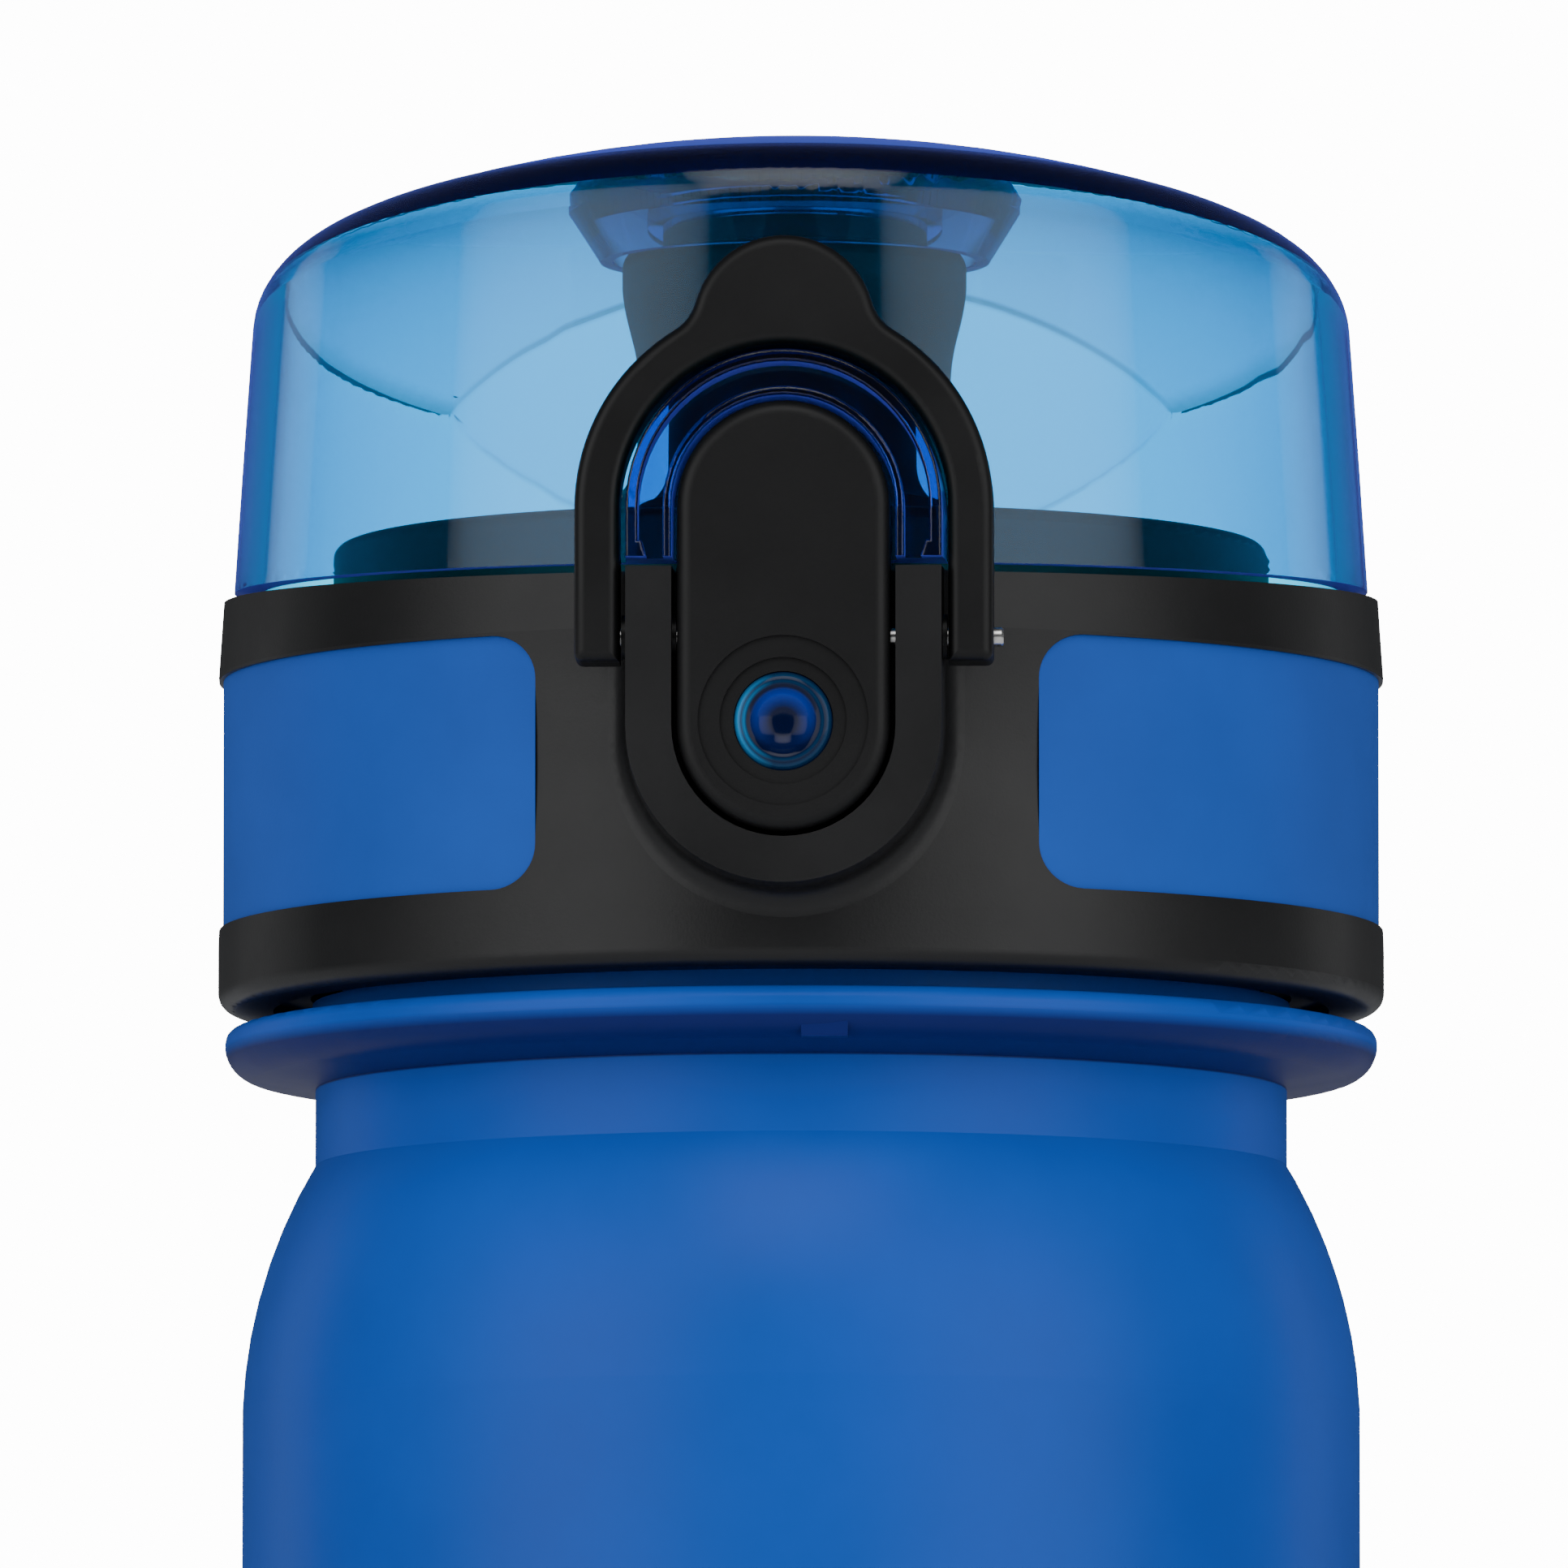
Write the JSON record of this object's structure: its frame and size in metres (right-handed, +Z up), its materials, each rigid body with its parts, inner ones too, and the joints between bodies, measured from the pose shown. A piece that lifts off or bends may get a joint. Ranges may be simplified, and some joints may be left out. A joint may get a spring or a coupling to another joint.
{
  "type": "drinking bottle",
  "caption": "Wide sports bottle with a screw cap, clear flip-up lid, push button, swinging lock ring and soft drinking spout.",
  "frame": {"origin": "middle of the foot, on the surface the bottle stands on", "axes": "+Z up along the bottle, -Y towards the push button and lock ring, hinge at +Y"},
  "size_m": [0.0742, 0.0852, 0.2215],
  "materials": {
    "bottle_blue": "frosted, slightly see-through blue copolyester",
    "gasket_white": "soft silicone",
    "cap_black": "fine satin moulded polypropylene",
    "insert_blue": "matt blue moulded plastic",
    "spout_rubber": "soft black silicone",
    "lid_azure": "clear tinted blue plastic",
    "jewel_blue": "clear tinted blue plastic",
    "pin_steel": "bright stainless steel"
  },
  "bodies": {
    "bottle": {"bottle_body": "bottle_blue"},
    "gasket": {"neck_gasket": "gasket_white"},
    "cap": {"inner_cap": "cap_black", "cap_collar": "cap_black", "grip_insert_left": "insert_blue", "grip_insert_right": "insert_blue", "spout": "spout_rubber", "vent_valve": "spout_rubber", "hinge_pin": "pin_steel", "hinge_spring": "pin_steel", "latch_pin": "pin_steel", "button_spring": "pin_steel"},
    "lid": {"flip_lid": "lid_azure", "seal_holder": "lid_azure", "spout_stopper": "spout_rubber"},
    "button": {"push_button": "cap_black", "button_jewel": "jewel_blue"},
    "ring": {"lock_ring": "cap_black"}
  },
  "joints": [
    {"name": "cap_lift", "type": "slide", "parent": "bottle", "child": "gasket", "axis": [0, 0, 1], "range_m": [0, 0.012]},
    {"name": "cap_turn", "type": "hinge", "parent": "gasket", "child": "cap", "pos_m": [0, 0, 0.19], "axis": [0, 0, 1], "range_deg": [0, 720]},
    {"name": "lid_hinge", "type": "hinge", "parent": "cap", "child": "lid", "pos_m": [0, 0.0398, 0.1956], "axis": [-1, 0, 0], "range_deg": [0, 118]},
    {"name": "button_rock", "type": "hinge", "parent": "cap", "child": "button", "pos_m": [0, -0.0389, 0.1876], "axis": [1, 0, 0], "range_deg": [0, 7], "stiffness_Nm_per_rad": 0.4},
    {"name": "ring_swing", "type": "hinge", "parent": "cap", "child": "ring", "pos_m": [0, -0.0389, 0.1876], "axis": [1, 0, 0], "range_deg": [0, 165]}
  ],
  "couplings": [
    {"joint": "cap_lift", "follows": "cap_turn", "m_per_rad": 0.00095493}
  ]
}
